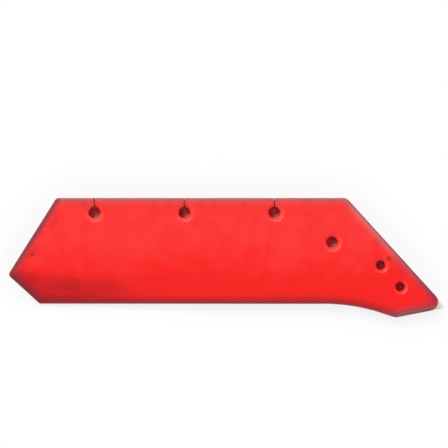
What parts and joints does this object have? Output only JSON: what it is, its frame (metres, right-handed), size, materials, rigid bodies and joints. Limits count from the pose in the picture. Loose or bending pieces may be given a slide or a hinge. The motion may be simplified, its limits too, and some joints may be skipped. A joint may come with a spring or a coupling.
{
  "type": "plough share",
  "caption": "Flat plough share of painted steel with a worked cutting edge that turns down into a nose, and countersunk bolt holes for the frog and a loose point.",
  "frame": {"origin": "centre of the outline, on the flat back that the share lies on", "axes": "+X along the cutting edge towards the point, +Y from the cutting edge to the top edge, +Z out of the front face that the soil runs over"},
  "size_m": [0.486, 0.1354, 0.012],
  "materials": {
    "red_paint": "glossy sprayed red enamel over hot-worked steel"
  },
  "bodies": {
    "root": {"plough_share": "red_paint"}
  },
  "joints": []
}
